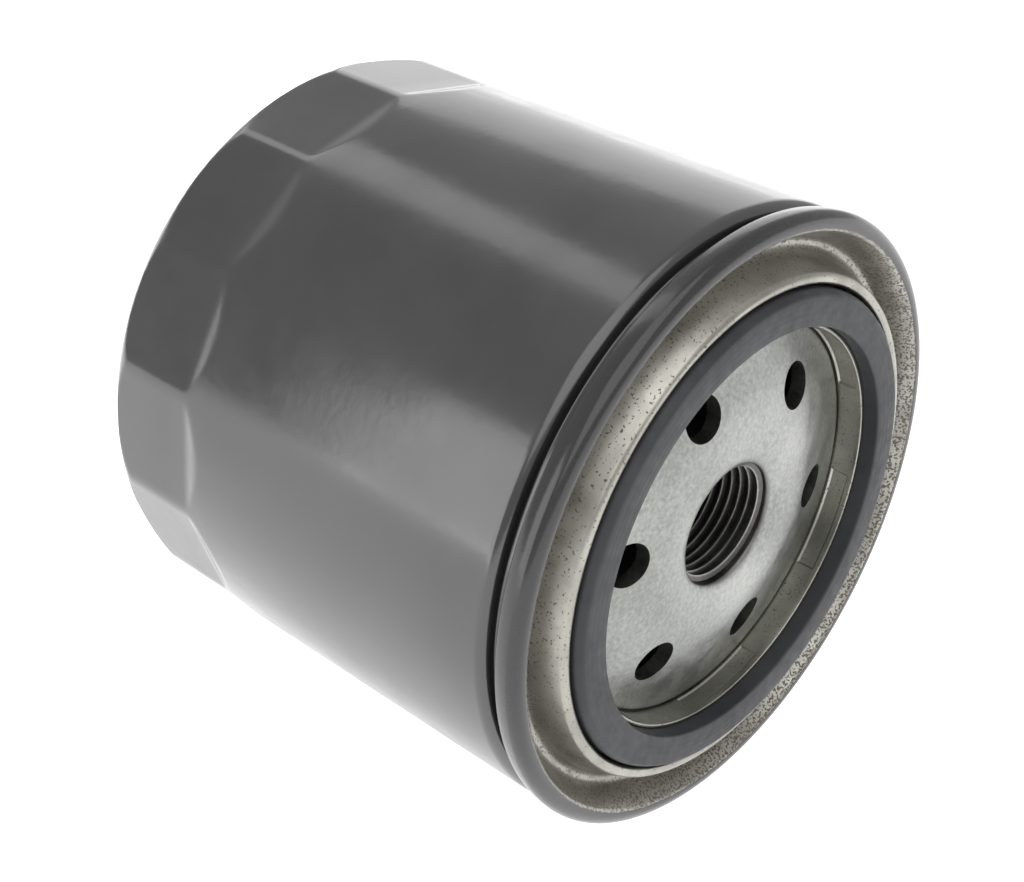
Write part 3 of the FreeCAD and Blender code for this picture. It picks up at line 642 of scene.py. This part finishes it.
tinplate = metal("tinplate", (0.55, 0.56, 0.57), (0.72, 0.72, 0.71), 0.2, 0.36, 900)
spring_wire = metal("spring_wire", (0.2, 0.2, 0.22), (0.36, 0.35, 0.36), 0.3, 0.45, 1400)
paper = soft("resin_paper", (0.62, 0.45, 0.2), (0.78, 0.62, 0.34), 0.7, 0.9, 1200, 0.00004)
plastisol = soft("plastisol", (0.3, 0.22, 0.18), (0.42, 0.33, 0.27), 0.4, 0.6, 500, 0.00002)
silicone = soft("seal_rubber", (0.22, 0.05, 0.03), (0.34, 0.09, 0.06), 0.45, 0.6, 700, 0.00001)
compound = soft("seam_compound", (0.08, 0.08, 0.07), (0.16, 0.16, 0.15), 0.5, 0.7, 900, 0.00002)

finishes = {
    "upper_end_cap": tinplate,
    "lower_end_cap": tinplate,
    "centre_tube": tinplate,
    "media_seam_clip": tinplate,
    "bypass_seat": tinplate,
    "bypass_valve_cage": tinplate,
    "bypass_poppet": tinplate,
    "spring_seat": tinplate,
    "stem_clip": spring_wire,
    "pleated_media": paper,
    "upper_adhesive": plastisol,
    "lower_adhesive": plastisol,
    "element_seal": silicone,
    "bypass_seal": black_rubber,
    "seam_sealant": compound,
}
for node, finish in finishes.items():
    wear(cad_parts[node], finish)

# ---------------------------------------------------------------------------------------------
# Springs. Oil-tempered wire: one shuts the bypass poppet, the other presses the element on its
# seal. Each is wound evenly from end to end.


def coil(name, start, end, radius, wire, turns):
    """A wire circle wound evenly along X between two places, in millimetres."""
    bpy.ops.object.select_all(action="DESELECT")
    bpy.ops.mesh.primitive_circle_add(
        vertices=16,
        radius=wire * mm,
        location=((start + wire) * mm, 0, radius * mm),
        rotation=(math.pi / 2, 0, 0),
    )
    piece = bpy.context.object
    piece.name = piece.data.name = name
    bpy.ops.object.transform_apply(location=True, rotation=True, scale=True)
    bpy.ops.object.mode_set(mode="EDIT")
    bpy.ops.mesh.select_all(action="SELECT")
    bpy.ops.object.mode_set(mode="OBJECT")
    wind = piece.modifiers.new("wind", "SCREW")
    wind.axis = "X"
    wind.angle = 2 * math.pi * turns
    wind.screw_offset = (end - start - 2 * wire) * mm
    wind.steps = wind.render_steps = 48 * turns
    bpy.ops.object.modifier_apply(modifier="wind")
    bpy.ops.object.mode_set(mode="EDIT")
    bpy.ops.mesh.select_all(action="SELECT")
    bpy.ops.mesh.fill_holes(sides=0)
    bpy.ops.mesh.select_all(action="SELECT")
    bpy.ops.mesh.normals_make_consistent(inside=False)
    bpy.ops.object.mode_set(mode="OBJECT")
    smooth(piece, 40)
    wear(piece, spring_wire)
    return piece


low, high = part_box("bypass_spring")
bypass = coil("bypass_coil", low[0] / mm, high[0] / mm, 6.6, 0.55, 5)
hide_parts("bypass_spring")
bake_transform(bypass)
low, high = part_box("hold_down_spring")
hold = coil("hold_down_coil", low[0] / mm, high[0] / mm, 17.4, 0.9, 3)
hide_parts("hold_down_spring")
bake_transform(hold)

# ---------------------------------------------------------------------------------------------
# Stage. A pale light table under the filter, soft studio light and the camera.
floor_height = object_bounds()[0][2]
bpy.ops.object.select_all(action="DESELECT")
bpy.ops.mesh.primitive_plane_add(size=6, location=(0, 0, floor_height))
floor = bpy.context.object
floor.name = "floor"
material, tree, shader, place, add = new_material("floor_paper")
paper_tone = tint(add, noise(add, place, 3, 2), (0.86, 0.86, 0.86), (0.9, 0.9, 0.9))
tree.links.new(paper_tone, shader.inputs["Base Color"])
shader.inputs["Roughness"].default_value = 0.8
shader.inputs["Emission Color"].default_value = (1, 1, 1, 1)
shader.inputs["Emission Strength"].default_value = 0.85
wear(floor, material)


def direction(azimuth, elevation):
    """Unit vector towards an azimuth, 0 being -Y and 90 being +X, and an elevation, in degrees."""
    turn, lift = math.radians(azimuth), math.radians(elevation)
    return Vector((math.sin(turn) * math.cos(lift), -math.cos(turn) * math.cos(lift), math.sin(lift)))


def panel(name, azimuth, elevation, distance, width, height, radiance):
    """A soft rectangular light aimed at the filter's middle."""
    light = bpy.data.lights.new(name, "AREA")
    light.shape = "RECTANGLE"
    light.size, light.size_y = width, height
    light.energy = radiance * math.pi * width * height
    lamp = bpy.data.objects.new(name, light)
    bpy.context.scene.collection.objects.link(lamp)
    aim = direction(azimuth, elevation)
    lamp.location = aim * distance + Vector((-0.045, 0, 0))
    lamp.rotation_euler = aim.to_track_quat("Z", "Y").to_euler()
    return lamp


panel("key_panel", -16, 10, 0.9, 0.72, 0.8, 2.6)
panel("top_strip", -104, 52, 0.8, 0.16, 1.2, 1.4)
panel("back_panel", -148, 10, 1.1, 0.7, 0.75, 1.1)
panel("overhead", 62, 58, 1.0, 1.2, 1.2, 1.5)

world = bpy.data.worlds.new("studio")
bpy.context.scene.world = world
world.use_nodes = True
world.node_tree.nodes["Background"].inputs["Color"].default_value = (1, 1, 1, 1)
world.node_tree.nodes["Background"].inputs["Strength"].default_value = 0.75
bpy.context.scene.view_settings.view_transform = "Standard"

camera_data = bpy.data.cameras.new("camera")
camera_data.lens = 65.8
camera_data.clip_start = 0.01
camera = bpy.data.objects.new("camera", camera_data)
bpy.context.scene.collection.objects.link(camera)
away = direction(42.76, 33.73)
camera.location = Vector((-0.0464, -0.0005, -0.0042)) + away * 0.2971
camera.rotation_euler = away.to_track_quat("Z", "Y").to_euler()
bpy.context.scene.camera = camera
